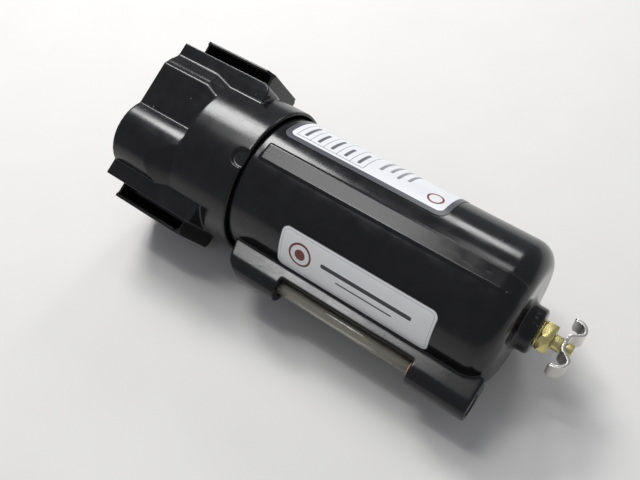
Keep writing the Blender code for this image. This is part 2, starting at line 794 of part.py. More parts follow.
def make_stem(parent):
    tip_z = BOWL_BOTTOM + DRAIN_IN - SEAT_DEPTH - SEAT_CONE - GAP
    profile = [
        (0, tip_z),
        (STEM_R - STEM_TIP / 2, tip_z),
        (STEM_R, tip_z - STEM_TIP),
        (STEM_R, STEM_HEAD_Z + STEM_HEAD_H),
        (STEM_HEAD_R, STEM_HEAD_Z + STEM_HEAD_H),
        (STEM_HEAD_R, STEM_HEAD_Z),
        (RIVET_NECK_R, STEM_HEAD_Z),
        (RIVET_NECK_R, RIVET_Z),
        (RIVET_R, RIVET_Z),
        (RIVET_R, RIVET_Z - RIVET_H + RIVET_EDGE),
        (RIVET_R - RIVET_EDGE, RIVET_Z - RIVET_H),
        (0, RIVET_Z - RIVET_H),
    ]
    stem = turned("stem", profile, SMALL_COUNT)
    return finish(stem, "drain_stem", BRASS, parent)


def wing_centreline():
    """Half of the bent strip, from the hub out over the ear to the tip that curls back."""
    z = WING_HUB_Z
    peak = z - WING_RISE
    radius = WING_TIP - WING_PEAK
    curl = arc((WING_PEAK, peak + radius), radius, -90, 10, 6)
    tip_z = WING_HUB_Z + WING_TIP_BACK
    ramp = [(0.0, z), (WING_HUB, z), (WING_HUB + 1.5, z - WING_RISE * 0.4)]
    return ramp + curl + [(WING_TIP - 0.2, tip_z)]


def thickened(line, thickness):
    """A closed outline of even thickness round an open line."""
    sides = ([], [])
    for i, (x, y) in enumerate(line):
        before, after = line[max(i - 1, 0)], line[min(i + 1, len(line) - 1)]
        along = Vector((after[0] - before[0], after[1] - before[1])).normalized()
        for side, sign in zip(sides, (1, -1)):
            side.append((x - sign * along.y * thickness / 2, y + sign * along.x * thickness / 2))
    return sides[0] + sides[1][::-1]


def make_wing(parent):
    half = wing_centreline()
    line = [(-x, z) for x, z in reversed(half[1:])] + half
    wing = prism("wing", thickened(line, WING_T), -WING_W / 2, WING_W / 2, "XZ")
    cut(wing, upright("wing_bore", RIVET_NECK_R + GAP, WING_HUB_Z - WING_T, WING_HUB_Z + WING_T))
    finish(wing, "wing_handle", NICKEL, parent)
    wing.rotation_euler = (0.0, 0.0, WING_TURN)
    return wing


# Inside


def make_deflector(parent):
    plate = ring("plate", OUTLET_R + 0.4, DEFLECTOR_R, DEFLECTOR_TOP - DEFLECTOR_T, DEFLECTOR_TOP)
    for i in range(VANE_COUNT):
        vane = box(
            "vane",
            (-VANE_L / 2, -VANE_T / 2, DEFLECTOR_TOP - 0.5),
            (VANE_L / 2, VANE_T / 2, DEFLECTOR_TOP + VANE_H),
        )
        middle = DEFLECTOR_R - VANE_L / 2 - 0.6
        turn = Matrix.Rotation(2 * math.pi * i / VANE_COUNT, 4, "Z")
        lean = Matrix.Rotation(VANE_LEAN, 4, "Z")
        vane.data.transform(turn @ Matrix.Translation((middle * MM, 0, 0)) @ lean)
        join(plate, vane)
    return finish(plate, "swirl_deflector", PLASTIC, parent)


def make_element(parent):
    bore = ELEMENT_BORE_R
    upper = ring("gasket", bore - 3, GASKET_R, UPPER_GASKET_TOP - GASKET_T, UPPER_GASKET_TOP)
    finish(upper, "upper_element_gasket", RUBBER, parent)
    element = ring("element", bore, ELEMENT_R, ELEMENT_TOP - ELEMENT_L, ELEMENT_TOP)
    finish(element, "filter_element", FILTER_MEDIA, parent)
    lower = ring("gasket", bore - 3, GASKET_R, LOWER_GASKET_TOP - GASKET_T, LOWER_GASKET_TOP)
    finish(lower, "lower_element_gasket", RUBBER, parent)


def make_baffle(parent):
    rod_bore = ROD_R + GAP
    low = BAFFLE_TOP - BAFFLE_T
    profile = [
        (BAFFLE_R - 2, BAFFLE_TOP),
        (BAFFLE_R, BAFFLE_TOP - 2),
        (BAFFLE_R, low - BAFFLE_SKIRT),
        (BAFFLE_R - 1.6, low - BAFFLE_SKIRT),
        (BAFFLE_R - 1.6, low),
        (rod_bore, low),
        (rod_bore, BAFFLE_TOP),
    ]
    finish(turned("baffle", profile, ROUND_COUNT, closed=True), "baffle", PLASTIC, parent)
    tie = rod("tie", ROD_R, (0, 0, ROD_BOTTOM), (0, 0, ROD_TOP), sides=SMALL_COUNT)
    finish(tie, "tie_rod", STEEL, parent)
    nut = rod("nut", NUT_HEX / math.sqrt(3), (0, 0, NUT_TOP - NUT_H), (0, 0, NUT_TOP), sides=6)
    cut(nut, upright("nut_bore", rod_bore, NUT_TOP - NUT_H - PAST, NUT_TOP + PAST))
    finish(nut, "retaining_nut", STEEL, parent)


# Laying down


def evaluated_bounds(objects):
    graph = bpy.context.evaluated_depsgraph_get()
    low, high = Vector((1e9,) * 3), Vector((-1e9,) * 3)
    for obj in objects:
        evaluated = obj.evaluated_get(graph)
        mesh = evaluated.to_mesh()
        for vertex in mesh.vertices:
            point = evaluated.matrix_world @ vertex.co
            low = Vector(map(min, low, point))
            high = Vector(map(max, high, point))
        evaluated.to_mesh_clear()
    return low, high


def rest_angles():
    """How far the inlet points down, and the bowl's end: three places of the back then meet the bench.

    They are the body's rear edge at its lower corner, the rear air passage, and a band of the bowl.
    """
    reach = math.hypot(CHEEK_X - DOME_X, CHEEK_Y - DOME_Y)
    lead = math.atan2(CHEEK_Y - DOME_Y, CHEEK_X - DOME_X)
    half_band = math.asin(BAND_HALF_W / BAND_R)
    dip = tilt = 0.5
    for _ in range(12):
        corner = CHEEK_X * math.sin(dip) + CHEEK_Y * math.cos(dip)
        band = BAND_R * math.cos(dip - BOWL_TURN - half_band)
        tilt = math.atan2(corner - band, CHEEK_BOTTOM - BOWL_BOTTOM - BOWL_FILLET)
        drop = math.tan(tilt) * (COLLAR_H - CHEEK_BOTTOM)
        dip = math.asin((DOME_R - drop) / reach) - lead
    return dip, tilt


def lay_down(root):
    """Turns the filter's axes onto its side and puts the middle of its footprint at the origin."""
    dip, tilt = rest_angles()
    side = Matrix.Rotation(-math.pi / 2, 4, "Y") @ Matrix.Rotation(-math.pi / 2 - dip, 4, "Z")
    root.matrix_world = Matrix.Rotation(tilt, 4, "Y") @ side
    bpy.context.view_layer.update()
    pieces = [obj for obj in PARTS.objects if obj.type == "MESH"]
    low, high = evaluated_bounds(pieces)
    root.location -= Vector(((low.x + high.x) / 2, (low.y + high.y) / 2, low.z))


def main():
    root = empty("filter_axes")
    make_head(root)
    bowl_axes = empty("bowl_axes", root)
    bowl_axes.rotation_euler = (0.0, 0.0, BOWL_TURN)
    make_deflector(root)
    make_element(root)
    make_baffle(root)
    make_bowl(bowl_axes)
    make_oring(bowl_axes)
    make_sight_glass(bowl_axes)
    make_labels(bowl_axes)
    make_drain_body(bowl_axes)
    stem_axes = empty("stem_axes", bowl_axes)
    make_stem(stem_axes)
    make_wing(stem_axes)
    lay_down(root)


main()
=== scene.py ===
"""Compressed air filter on a pale floor, with its surfaces, printed labels, light and camera.

Shapes are drawn in the filter's own axes, in millimetres, and then laid into the frame:
  X  port axis, +X to the inlet     Y  front of the head     Z  up, 0 at the rim of the head's collar
What the bowl carries is drawn with the sight glass at +X and turned by BOWL_TURN.
"""

import json
import math

import bmesh
import bpy
from mathutils import Matrix, Vector


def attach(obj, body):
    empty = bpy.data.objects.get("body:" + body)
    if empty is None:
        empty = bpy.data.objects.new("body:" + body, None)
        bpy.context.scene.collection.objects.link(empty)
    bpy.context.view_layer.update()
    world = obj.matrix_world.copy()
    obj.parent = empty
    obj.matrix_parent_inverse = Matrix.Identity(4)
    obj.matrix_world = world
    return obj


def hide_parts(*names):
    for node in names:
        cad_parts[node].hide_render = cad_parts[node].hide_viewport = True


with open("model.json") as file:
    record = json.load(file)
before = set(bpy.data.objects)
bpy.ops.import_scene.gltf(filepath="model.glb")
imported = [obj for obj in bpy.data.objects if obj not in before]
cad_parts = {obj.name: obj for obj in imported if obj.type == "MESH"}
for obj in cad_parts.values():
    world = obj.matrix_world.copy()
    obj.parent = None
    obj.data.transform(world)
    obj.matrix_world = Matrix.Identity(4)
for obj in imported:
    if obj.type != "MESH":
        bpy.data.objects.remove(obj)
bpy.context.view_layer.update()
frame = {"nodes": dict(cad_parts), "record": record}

MM = 0.001

# Head
HEAD_TOP = 66.7
COLLAR_R = 36.1
COLLAR_H = 33.0
MOUTH_R = 34.2
MOUTH_DEPTH = 19.0
NOTCH_R = 4.1
NOTCH_Z = 2.6
NOTCH_DEPTH = 1.2
CHEEK_X = 35.8
CHEEK_Y = 24.5
CHEEK_BOTTOM = 14.4
CHEEK_CORNER_R = 4.0
FACE_Y = 30.5
FACE_LEFT_X = -22.4
DOME = (12.0, 17.5, 17.8)  # X, Y and radius of the air passage in the head's front
PORT_Z = 41.7
PORT_R = 8.0
PORT_MOUTH_R = 9.4
INLET_DEPTH = 28.0
OUTLET_END = 4.0
FLANGE_X = 43.3
FLANGE_T = 1.8
FLANGE_HALF_W = 17.2
FLANGE_TOP = 61.8
FLANGE_BOTTOM = 21.6
NECK_HALF_W = 9.8
WEB_T = 1.3
WEB_HALF_W = 15.4

# Bowl
BOWL_TURN = math.radians(14.0)
BOWL_R = 33.5
BOWL_BOTTOM = -128.5
BOWL_TOP = 16.0
BOWL_FILLET = 10.0
SHOULDER_Z = 4.6
NECK_R = 30.8
CAVITY_R = 28.0
WALL_R = 29.5  # within the bowl's wall, clear of the cavity
FLOOR_T = 4.0
BAND_R = 34.3
BAND_HALF_W = 3.9
BAND_TOP = -4.2
DRAIN_BOSS_R = 10.3
DRAIN_BOSS_END = -135.7
DRAIN_BORE_R = 5.4

# Sight glass and its rail on the bowl
GLASS_X = 40.0
GLASS_R = 3.2
GLASS_WALL = 1.1
GLASS_Z = (-112.0, -29.6)
GAUGE_R = 7.0
GAUGE_TOP = -4.2
RAIL_X = 38.0
WINDOW = (-101.0, -34.0)
SEAL_R = 0.45
PLUG_R = 4.7
PLUG_BORE_R = 5.0
PLUG_Z = (-127.8, -114.4)
PLUG_KEY_FLATS = 5.0
PLUG_KEY_Z = (-129.0, -123.5)

# Labels
FILM_T = 0.12
FILM_LIFT = 0.2
FRONT_CENTRE_DEG = 32.4
FRONT_HALF_W = 10.6
FRONT_Z = (-103.6, -28.4)
FRONT_CORNER = 3.2
RATING_CENTRE_DEG = 142.6
RATING_HALF_W = 19.3
RATING_Z = (-85.2, -4.2)
RATING_CORNER = 4.2
RATING_BORDER = 2.5

# Drain cock
WASHER_R = (5.3, 6.6)
WASHER_Z = (-136.6, -136.0)
HEX_Z = (-141.9, -136.9)
HEX_FLATS = 12.5
HEX_TURN = math.radians(11.0)
COCK_BORE_R = 2.5
THREAD_R = 5.0
THREAD_LENGTH = 13.0
STEM_R = 2.2
STEM_TIP_R = 1.3
STEM_TOP_Z = -126.0
STEM_HEAD_Z = (-145.6, -142.2)
SHANK_R = 3.35
STEM_END_Z = -150.5
STEM_END_R = 2.6
WING_HUB_Z = -146.55
WING_TURN = math.radians(16.0)

# How finely shapes are worked
VOXEL = 0.00042
CAST_SMOOTHING = 5
CORNER_STEPS = 5
OVER = 1.0  # how far a cutter reaches past what it cuts

# Camera, at the photograph's angle, from where it stands in the filter's own axes
CAMERA_PLACE = (24.42, 314.9, -158.5)
CAMERA_LOOK = (-0.0367, -0.9292, 0.3677)
CAMERA_UP = (-0.8561, 0.2190, 0.4681)
CAMERA_LENS = 42.19
SENSOR_WIDTH = 36.0
NEAREST = 0.01

# Light: name, direction from the filter, distance, size and watts
LIGHT_AIM = (0.0, 0.0, 0.03)
SOFTBOXES = (
    ("window_back_left", (-0.53, 0.33, 0.78), 0.9, (0.30, 0.25), 4.2),
    ("ceiling", (-0.33, 0.08, 0.94), 1.1, (0.50, 0.34), 2.7),
    ("window_back", (-0.12, 0.80, 0.59), 0.9, (0.16, 0.16), 1.0),
    ("rail_strip", (-0.24, -0.03, 0.97), 1.1, (0.06, 0.40), 1.2),
    ("window_high", (-0.05, 0.44, 0.90), 1.0, (0.13, 0.13), 0.28),
)
WORLD_COLOUR = (0.92, 0.94, 1.0, 1.0)
WORLD_STRENGTH = 0.30
FLOOR_SIZE = 3.0
FLOOR_GAP = 0.0002

# Colours
ENAMEL = (0.0042, 0.0043, 0.0050)
ENAMEL_HAZE = (0.0085, 0.0088, 0.0095)
DUST = (0.22, 0.21, 0.19)
FRONT_GROUND = (0.86, 0.865, 0.87)
FRONT_EDGE = (0.5, 0.5, 0.51)
FRONT_FRAME = (0.42, 0.43, 0.45)
FRONT_INK = (0.035, 0.036, 0.04)
FRONT_RED = (0.17, 0.03, 0.026)
RATING_GROUND = (0.8, 0.81, 0.84)
RATING_TABLE_INK = (0.12, 0.12, 0.14)
RATING_RULE_INK = (0.25, 0.25, 0.28)
RATING_RED = (0.2, 0.035, 0.03)
RATING_BORDER_INK = (0.075, 0.078, 0.095)


def unit(vector):
    return Vector(vector).normalized()


def head_axes():
    """The filter's own axes in the frame, from the record's inlet face and the bowl's joint."""
    record = frame["record"]
    inlet = next(mount for mount in record["mounts"] if mount["name"] == "inlet_face")
    twist = next(joint for joint in record["behaviour"]["joints"] if joint["name"] == "bowl_twist")
    x, z = unit(inlet["axis"]), unit(twist["axis"])
    y = z.cross(x)
    turn = Matrix((x, y, z)).transposed().to_4x4()
    return Matrix.Translation(twist["pos_m"]) @ turn


HEAD = head_axes()
BOWL = HEAD @ Matrix.Rotation(BOWL_TURN, 4, "Z")


# Basic shapes, in millimetres


def mesh_object(name, mesh):
    obj = bpy.data.objects.new(name, mesh)
    bpy.context.scene.collection.objects.link(obj)
    return obj


def from_bmesh(name, bm, recalculate=True):
    if recalculate:
        bmesh.ops.recalc_face_normals(bm, faces=bm.faces)
    mesh = bpy.data.meshes.new(name)
    bm.to_mesh(mesh)
    bm.free()
    return mesh_object(name, mesh)


def applied(obj):
    """A new object with the modifiers of this one worked into its mesh."""
    bpy.context.view_layer.update()
    graph = bpy.context.evaluated_depsgraph_get()
    mesh = bpy.data.meshes.new_from_object(obj.evaluated_get(graph))
    mesh.transform(obj.matrix_world)
    name = obj.name
    bpy.data.objects.remove(obj, do_unlink=True)
    mesh.name = name
    return mesh_object(name, mesh)


def arc(centre, radius, start_deg, end_deg, steps):
    sweep = end_deg - start_deg
    angles = [math.radians(start_deg + sweep * i / steps) for i in range(steps + 1)]
    return [(centre[0] + radius * math.cos(t), centre[1] + radius * math.sin(t)) for t in angles]


def rounded(points, radii):
    """The polyline with its corners rounded; a radius of 0 leaves a corner sharp."""
    made = []
    count = len(points)
    for i, (point, radius) in enumerate(zip(points, radii)):
        if not radius or i in (0, count - 1):
            made.append(point)
            continue
        here = Vector(point)
        back, ahead = Vector(points[i - 1]) - here, Vector(points[i + 1]) - here
        half = back.angle(ahead) / 2
        reach = min(radius / math.tan(half), back.length * 0.49, ahead.length * 0.49)
        start, end = here + back.normalized() * reach, here + ahead.normalized() * reach
        for k in range(CORNER_STEPS + 1):
            t = k / CORNER_STEPS
            made.append(tuple(start * (1 - t) ** 2 + here * 2 * t * (1 - t) + end * t**2))
    return made


def turned(name, profile, sides=192, closed=False):
    """A profile of (radius, height) points turned about Z."""
    bm = bmesh.new()
    rings = []
    for radius, z in profile:
        if radius < 1e-6:
            rings.append([bm.verts.new((0, 0, z * MM))])
            continue
        r = radius * MM
        angles = [2 * math.pi * i / sides for i in range(sides)]
        rings.append([bm.verts.new((r * math.cos(t), r * math.sin(t), z * MM)) for t in angles])
    pairs = list(zip(rings, rings[1:]))
    if closed:
        pairs.append((rings[-1], rings[0]))
    for a, b in pairs:
        for i in range(sides):
            j = (i + 1) % sides
            corners = [a[i % len(a)], a[j % len(a)], b[j % len(b)], b[i % len(b)]]
            bm.faces.new(list(dict.fromkeys(corners)))
    return from_bmesh(name, bm)


def prism(name, outline, low, high, axes="XY"):
    """A closed outline in the named plane, drawn out along the third axis."""
    place = {
        "XY": lambda u, v, w: (u, v, w),
        "XZ": lambda u, v, w: (u, w, v),
        "YZ": lambda u, v, w: (w, u, v),
    }[axes]
    bm = bmesh.new()
    ends = [[bm.verts.new(Vector(place(u, v, w)) * MM) for u, v in outline] for w in (low, high)]
    for end in ends:
        bm.faces.new(end)
    count = len(outline)
    for i in range(count):
        j = (i + 1) % count
        bm.faces.new((ends[0][i], ends[0][j], ends[1][j], ends[1][i]))
    return from_bmesh(name, bm)


def box(name, low, high):
    corners = [(low[0], low[1]), (high[0], low[1]), (high[0], high[1]), (low[0], high[1])]
    return prism(name, corners, low[2], high[2])


def rod(name, radius, start, end, sides=96):
    a, b = Vector(start) * MM, Vector(end) * MM
    place = Matrix.Translation((a + b) / 2) @ (b - a).to_track_quat("Z", "Y").to_matrix().to_4x4()
    bm = bmesh.new()
    bmesh.ops.create_cone(
        bm,
        cap_ends=True,
        segments=sides,
        radius1=radius * MM,
        radius2=radius * MM,
        depth=(b - a).length,
        matrix=place,
    )
    return from_bmesh(name, bm)


def boolean(obj, others, operation):
    """Works each of the others into obj, one after another, and removes them."""
    for other in others:
        modifier = obj.modifiers.new(other.name, "BOOLEAN")
        modifier.operation = operation
        modifier.object = other
        modifier.solver = "EXACT"
        obj = applied(obj)
    for other in others:
        bpy.data.objects.remove(other, do_unlink=True)
    return obj


def copy_of(obj):
    return mesh_object(obj.name, obj.data.copy())


def moved_to_glass(obj):
    obj.data.transform(Matrix.Translation((GLASS_X * MM, 0, 0)))
    return obj


def merged(name, solids):
    """One mesh with the faces of all the solids, which may still run through each other."""
    bm = bmesh.new()
    for solid in solids:
        bm.from_mesh(solid.data)
        bpy.data.objects.remove(solid, do_unlink=True)
    return from_bmesh(name, bm, recalculate=False)


def cast(name, solids):
    """Melts the solids into one skin with the small, even radii that a casting has."""
    obj = merged(name, solids)
    remesh = obj.modifiers.new("skin", "REMESH")
    remesh.mode = "VOXEL"
    remesh.voxel_size = VOXEL * 1.0
    relax = obj.modifiers.new("radii", "SMOOTH")
    relax.factor = 0.5
    relax.iterations = CAST_SMOOTHING
    return applied(obj)


def smooth(obj, angle_deg=None):
    obj.data.shade_smooth()
    if angle_deg is not None:
        obj.data.set_sharp_from_angle(angle=math.radians(angle_deg))
    return obj


def bevelled(obj, width, segments, angle_deg):
    modifier = obj.modifiers.new("edges", "BEVEL")
    modifier.width = width * MM
    modifier.segments = segments
    modifier.limit_method = "ANGLE"
    modifier.angle_limit = math.radians(angle_deg)
    modifier.harden_normals = False
    return applied(obj)


def place(obj, axes, body, look, slot, nodes=()):
    """Lays a finished piece into the frame, on its body, in place of its CAD nodes."""
    obj.data.transform(axes)
    obj.data.materials.clear()
    obj.data.materials.append(look)
    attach(obj, body)
    if nodes:
        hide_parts(*nodes)
    return obj


# Materials


class Nodes:
    """A material's node tree with short ways to add to it."""

    def __init__(self, name):
        self.material = bpy.data.materials.new(name)
        self.material.use_nodes = True
        self.tree = self.material.node_tree
        self.shader = self.tree.nodes["Principled BSDF"]
        coordinates = self.tree.nodes.new("ShaderNodeTexCoord")
        self.place = coordinates.outputs["Object"]
        self.uv = coordinates.outputs["UV"]

    def link(self, value, socket):
        if isinstance(value, bpy.types.NodeSocket):
            self.tree.links.new(value, socket)
        else:
            socket.default_value = value

    def math(self, operation, a, b=0.0):
        node = self.tree.nodes.new("ShaderNodeMath")
        node.operation = operation
        for value, socket in zip((a, b), node.inputs):
            self.link(value, socket)
        return node.outputs[0]

    def noise(self, per_mm, detail=3.0, roughness=0.5, stretch=(1, 1, 1)):
        mapping = self.tree.nodes.new("ShaderNodeMapping")
        mapping.inputs["Scale"].default_value = stretch
        self.tree.links.new(self.place, mapping.inputs["Vector"])
        node = self.tree.nodes.new("ShaderNodeTexNoise")
        self.tree.links.new(mapping.outputs[0], node.inputs["Vector"])
        node.inputs["Scale"].default_value = per_mm / MM
        node.inputs["Detail"].default_value = detail
        node.inputs["Roughness"].default_value = roughness
        return node.outputs["Fac"]

    def specks(self, per_mm, size):
        """White inside scattered round specks of about size, as a share of their spacing."""
        node = self.tree.nodes.new("ShaderNodeTexVoronoi")
        self.tree.links.new(self.place, node.inputs["Vector"])
        node.inputs["Scale"].default_value = per_mm / MM
        return self.ramp(node.outputs["Distance"], ((size * 0.5, 1.0), (size, 0.0)))

    def ramp(self, value, stops):
        node = self.tree.nodes.new("ShaderNodeMapRange")
        (low, low_value), (high, high_value) = stops
        self.link(value, node.inputs["Value"])
        node.inputs["From Min"].default_value = low
        node.inputs["From Max"].default_value = high
        node.inputs["To Min"].default_value = low_value
        node.inputs["To Max"].default_value = high_value
        return node.outputs["Result"]

    def mix(self, share, first, second):
        node = self.tree.nodes.new("ShaderNodeMix")
        node.data_type = "RGBA"
        self.link(share, node.inputs["Factor"])
        for colour, socket in ((first, node.inputs["A"]), (second, node.inputs["B"])):
            self.link((*colour, 1.0) if isinstance(colour, tuple) else colour, socket)
        return node.outputs["Result"]

    def bump(self, height, strength, distance_mm):
        node = self.tree.nodes.new("ShaderNodeBump")
        node.inputs["Strength"].default_value = strength
        node.inputs["Distance"].default_value = distance_mm * MM
        self.link(height, node.inputs["Height"])
        self.tree.links.new(node.outputs[0], self.shader.inputs["Normal"])

    def set(self, **values):
        for name, value in values.items():
            socket = self.shader.inputs[name.replace("_", " ")]
            self.link((*value, 1.0) if isinstance(value, tuple) and len(value) == 3 else value, socket)
        return self.material


def painted_casting(name, gloss, wave):
    """Black enamel over a die casting: faint flow waves, a few dust specks, gloss that varies."""
    n = Nodes(name)
    dusty = n.ramp(n.noise(0.05, 2), ((0.42, 0.0), (0.6, 1.0)))
    dust = n.math("MULTIPLY", n.specks(0.16, 0.055), dusty)
    haze = n.ramp(n.noise(0.09, 4, 0.6), ((0.35, 0.0), (0.75, 1.0)))
    n.set(Base_Color=n.mix(dust, n.mix(haze, ENAMEL, ENAMEL_HAZE), DUST))
    scuffs = n.ramp(n.noise(0.8, 4, 0.7, (0.12, 1, 1)), ((0.55, 0.0), (0.8, 0.12)))
    sheen = n.ramp(haze, ((0, gloss), (1, gloss + 0.08)))
    n.set(Roughness=n.math("ADD", n.math("ADD", sheen, scuffs), dust))
    ripple = n.math("MULTIPLY", n.noise(2.2, 2, 0.5), 0.12)
    waves = n.math("ADD", n.noise(0.32, 3, 0.5), ripple)
    n.bump(n.math("ADD", waves, n.math("MULTIPLY", dust, 0.6)), wave, 0.12)
    return n.set(Specular_IOR_Level=0.42)


def metal(name, colour, dark, roughness):
    """A metal with fine tool marks and a patchy tarnish."""
    n = Nodes(name)
    tarnish = n.ramp(n.noise(0.12, 2, 0.5), ((0.4, 0.0), (0.8, 0.6)))
    grain = n.noise(1.5, 3, 0.6)
    n.set(Base_Color=n.mix(tarnish, colour, dark), Metallic=1.0)
    marks = n.ramp(grain, ((0.3, roughness - 0.02), (0.7, roughness + 0.03)))
    n.set(Roughness=n.math("ADD", marks, n.math("MULTIPLY", tarnish, 0.1)))
    n.bump(grain, 0.04, 0.02)
    return n.material


def rubber(name, colour, roughness=0.6):
    n = Nodes(name)
    mottle = n.noise(1.2, 3)
    paler = tuple(min(1.0, c * 1.5 + 0.01) for c in colour)
    n.set(Base_Color=n.mix(n.ramp(mottle, ((0.4, 0.0), (0.7, 1.0))), colour, paler))
    n.set(Roughness=n.ramp(mottle, ((0.3, roughness - 0.08), (0.7, roughness + 0.08))))
    n.bump(mottle, 0.15, 0.05)
    return n.material


def porous(name):
    """Sintered granules of the filter element, with painted shade darkening the pits between them."""
    n = Nodes(name)
    grains = n.tree.nodes.new("ShaderNodeTexVoronoi")
    n.tree.links.new(n.place, grains.inputs["Vector"])
    grains.inputs["Scale"].default_value = 1.4 / MM
    pits = grains.outputs["Distance"]
    # painted shade: the colour darkens from the granules' tops into the pits between them
    depth = n.ramp(pits, ((0.1, 0.0), (0.8, 1.0)))
    n.set(Base_Color=n.mix(depth, (0.84, 0.82, 0.76), (0.55, 0.53, 0.48)))
    n.bump(n.math("SUBTRACT", 1.0, pits), 0.6, 0.2)
    return n.set(Roughness=0.9)


def clear_tube(name):
    n = Nodes(name)
    streaks = n.noise(0.5, 3, 0.5, (0.08, 1, 1))
    # painted refraction: a diffuse share of warm beige stands in for a warm surface seen through the
    # clear tube and keeps the tube evenly light
    n.set(Base_Color=(0.62, 0.60, 0.52), Transmission_Weight=0.78, IOR=1.49)
    n.set(Roughness=n.ramp(streaks, ((0.4, 0.02), (0.75, 0.07))))
    n.bump(streaks, 0.006, 0.05)
    return n.material


def rectangle_edge(n, centre, half, radius=0.0):
    """Distance in mm from a rounded rectangle on the label's face, below 0 inside it."""
    split = n.tree.nodes.new("ShaderNodeSeparateXYZ")
    n.tree.links.new(n.uv, split.inputs[0])
    reach = []
    for axis in (0, 1):
        offset = n.math("ABSOLUTE", n.math("SUBTRACT", split.outputs[axis], centre[axis]))
        reach.append(n.math("SUBTRACT", offset, half[axis] - radius))
    outside = [n.math("MAXIMUM", value, 0.0) for value in reach]
    squares = [n.math("POWER", value, 2.0) for value in outside]
    corner = n.math("SQRT", n.math("ADD", *squares))
    inside = n.math("MINIMUM", n.math("MAXIMUM", reach[0], reach[1]), 0.0)
    return n.math("SUBTRACT", n.math("ADD", corner, inside), radius)


def filled(n, distance):
    soft = 0.06
    return n.ramp(distance, ((-soft, 1.0), (soft, 0.0)))


def stroked(n, distance, width):
    return filled(n, n.math("SUBTRACT", n.math("ABSOLUTE", distance), width / 2))


def united(n, masks):
    """White where any of the masks is."""
    whole = masks[0]
    for mask in masks[1:]:
        whole = n.math("MAXIMUM", whole, mask)
    return whole


def printed_film(name, ground, marks):
    """A satin film with the given marks printed on it, each a (mask, colour) made on this tree."""
    n = Nodes(name)
    weave = n.noise(2.5, 2)
    worn = n.ramp(n.noise(0.08, 3), ((0.3, 0.0), (0.75, 1.0)))
    colour = n.mix(worn, ground, tuple(c * 0.955 for c in ground))
    for make_mask, ink in marks:
        colour = n.mix(make_mask(n), colour, ink)
    n.set(Base_Color=colour, Roughness=n.ramp(weave, ((0.3, 0.3), (0.7, 0.38))))
    n.bump(weave, 0.04, 0.02)
    return n.material


# Head


def head_outline():
    """Section of the head above its collar, front half mirrored to the back."""
    left = [
        (-30.6, 22.5),
        (-29.4, 24.6),
        (-28.2, 25.3),
        (-27.0, 26.4),
        (-25.8, 27.7),
        (-24.6, 28.7),
        (-23.4, 29.3),
        (FACE_LEFT_X, 30.1),
        (FACE_LEFT_X + 0.7, FACE_Y),
    ]
    x, y, r = DOME
    rise = math.degrees(math.asin((FACE_Y - y) / r))
    fall = math.degrees(math.asin((CHEEK_Y - 0.6 - y) / r))
    front = left + arc((x, y), r, 180 - rise, fall, 40)
    return front + [(x, -y) for x, y in reversed(front)]


def cheek_solid():
    """The body between the two port faces."""
    centre = (-CHEEK_X + CHEEK_CORNER_R, CHEEK_BOTTOM + CHEEK_CORNER_R)
    left = arc(centre, CHEEK_CORNER_R, 180, 270, 10)
    outline = left + [(CHEEK_X, CHEEK_BOTTOM), (CHEEK_X, HEAD_TOP), (-CHEEK_X, HEAD_TOP)]
    return prism("cheeks", outline, -CHEEK_Y, CHEEK_Y, "XZ")


def flange_solids(side):
    """Plate of one port, with the neck and the two webs that join it to the cheeks."""
    outer, inner = FLANGE_X, FLANGE_X - FLANGE_T
    w, top, bottom = FLANGE_HALF_W, FLANGE_TOP, FLANGE_BOTTOM
    cut_low, cut_high = 3.2, 1.2
    outline = [
        (-w, bottom + cut_low),
        (-w + cut_low, bottom),
        (w - cut_low, bottom),
        (w, bottom + cut_low),
        (w, top - cut_high),
        (w - cut_high, top),
        (-w + cut_high, top),
        (-w, top - cut_high),
    ]
    plate = prism("plate", outline, *sorted((side * inner, side * outer)), "YZ")
    root, tip = CHEEK_X - 2.0, inner + 0.4
    half = [(root, NECK_HALF_W), (CHEEK_X + 2.2, NECK_HALF_W), (tip, w - 0.8)]
    neck_outline = [(side * x, y) for x, y in half] + [(side * x, -y) for x, y in reversed(half)]
    neck = prism("neck", neck_outline, bottom + WEB_T / 2, top - WEB_T / 2)
    webs = []
    for low in (bottom, top - WEB_T):
        xs = sorted((side * root, side * tip))
        webs.append(box("web", (xs[0], -WEB_HALF_W, low), (xs[1], WEB_HALF_W, low + WEB_T)))
    return [plate, neck, *webs]


def port_cutter(side):
    """Bore of one port with its coned mouth; the outlet's runs on nearly to the chamber's middle."""
    end = OUTLET_END if side < 0 else FLANGE_X - INLET_DEPTH
    profile = [
        (0, FLANGE_X + OVER),
        (PORT_MOUTH_R + 0.6, FLANGE_X + OVER),
        (PORT_MOUTH_R, FLANGE_X),
        (PORT_R, FLANGE_X - 1.6),
        (PORT_R, end),
        (0, end),
    ]
    cutter = turned("port", profile, 96)
    lay = Matrix.Rotation(math.radians(90) * side, 4, "Y")
    cutter.data.transform(Matrix.Translation((0, 0, PORT_Z * MM)) @ lay)
    return cutter


def notch_cutter():
    """Pocket in the collar's rim: half round above, open below, flat floor."""
    below = -2.0
    outline = [(NOTCH_R, below)] + arc((0, NOTCH_Z), NOTCH_R, 0, 180, 16) + [(-NOTCH_R, below)]
    return prism("notch", outline, COLLAR_R - NOTCH_DEPTH, COLLAR_R + OVER, "XZ")


